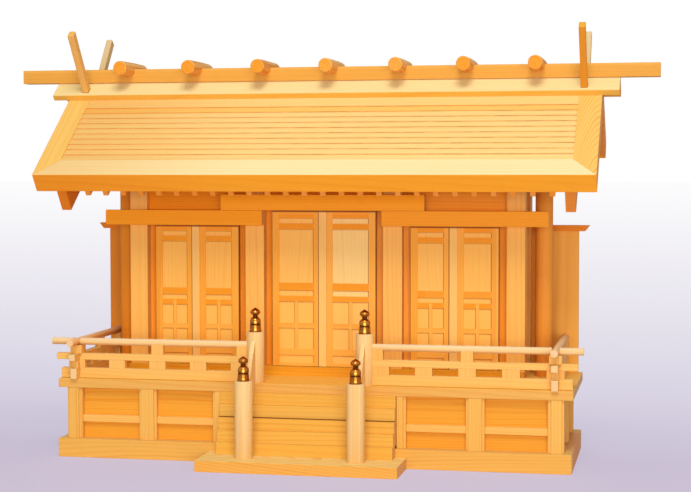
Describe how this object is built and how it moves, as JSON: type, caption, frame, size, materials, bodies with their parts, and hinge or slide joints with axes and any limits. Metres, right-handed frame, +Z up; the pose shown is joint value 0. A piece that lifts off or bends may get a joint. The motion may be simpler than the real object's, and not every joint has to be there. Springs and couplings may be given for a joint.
{
  "type": "household shrine model",
  "caption": "Miniature wooden shrine with a single gabled roof, panelled double doors, railed veranda and front stairs.",
  "frame": {"origin": "on the shelf plane, at the middle of the width and of the depth from the stair board's front edge to the rear eave", "axes": "+X along the ridge to the viewer's right, -Y the front with the stairs and doors, +Z up"},
  "size_m": [0.64, 0.2378, 0.4116],
  "materials": {
    "hinoki": "planed, unfinished, satin",
    "turned_hinoki": "turned, unfinished, satin",
    "cap_brass": "darkened brass, polished on the high parts"
  },
  "bodies": {
    "shrine": {"back_wall": "hinoki", "bargeboards_back": "hinoki", "bargeboards_front": "hinoki", "base_end_boards": "hinoki", "base_long_boards": "hinoki", "bottom_rails_front": "hinoki", "bottom_rails_side": "hinoki", "center_lintel": "hinoki", "chigi": "hinoki", "corner_posts": "hinoki", "door_heads": "hinoki", "door_jambs": "hinoki", "door_sill": "hinoki", "frieze_panels": "hinoki", "front_inner_posts": "hinoki", "gable_walls": "hinoki", "middle_rails_front": "hinoki", "middle_rails_side": "hinoki", "newel_caps": "cap_brass", "newel_posts": "turned_hinoki", "podium_mid_rails": "hinoki", "podium_panels": "hinoki", "podium_posts": "hinoki", "rafters": "hinoki", "railing_blocks": "hinoki", "railing_struts": "hinoki", "ridge_beam": "hinoki", "ridge_cover_back": "hinoki", "ridge_cover_front": "hinoki", "ridge_logs": "turned_hinoki", "ridge_pillars": "turned_hinoki", "ridge_purlin": "hinoki", "roof_back": "hinoki", "roof_eave_boards": "hinoki", "roof_front": "hinoki", "roof_verge_boards": "hinoki", "screen_caps": "hinoki", "screen_panels": "hinoki", "side_lintels": "hinoki", "side_walls": "hinoki", "stair_handrails": "hinoki", "stair_step_1": "hinoki", "stair_step_2": "hinoki", "stair_step_3": "hinoki", "stair_step_4": "hinoki", "stair_step_5": "hinoki", "step_base": "hinoki", "top_rails_front": "turned_hinoki", "top_rails_side": "turned_hinoki", "veranda_floor": "hinoki", "wall_plates": "hinoki"},
    "left_left_leaf": {"left_door_left": "hinoki"},
    "left_right_leaf": {"left_door_right": "hinoki"},
    "center_left_leaf": {"center_door_left": "hinoki"},
    "center_right_leaf": {"center_door_right": "hinoki"},
    "right_left_leaf": {"right_door_left": "hinoki"},
    "right_right_leaf": {"right_door_right": "hinoki"}
  },
  "joints": [
    {"name": "left_left_leaf_hinge", "type": "hinge", "parent": "shrine", "child": "left_left_leaf", "pos_m": [-0.1682, 0.0091, 0.15], "axis": [0, 0, -1], "range_deg": [0, 90]},
    {"name": "left_right_leaf_hinge", "type": "hinge", "parent": "shrine", "child": "left_right_leaf", "pos_m": [-0.0877, 0.0091, 0.15], "axis": [0, 0, 1], "range_deg": [0, 90]},
    {"name": "center_left_leaf_hinge", "type": "hinge", "parent": "shrine", "child": "center_left_leaf", "pos_m": [-0.0491, 0.0091, 0.15], "axis": [0, 0, -1], "range_deg": [0, 90]},
    {"name": "center_right_leaf_hinge", "type": "hinge", "parent": "shrine", "child": "center_right_leaf", "pos_m": [0.0491, 0.0091, 0.15], "axis": [0, 0, 1], "range_deg": [0, 90]},
    {"name": "right_left_leaf_hinge", "type": "hinge", "parent": "shrine", "child": "right_left_leaf", "pos_m": [0.0877, 0.0091, 0.15], "axis": [0, 0, -1], "range_deg": [0, 90]},
    {"name": "right_right_leaf_hinge", "type": "hinge", "parent": "shrine", "child": "right_right_leaf", "pos_m": [0.1682, 0.0091, 0.15], "axis": [0, 0, 1], "range_deg": [0, 90]}
  ]
}
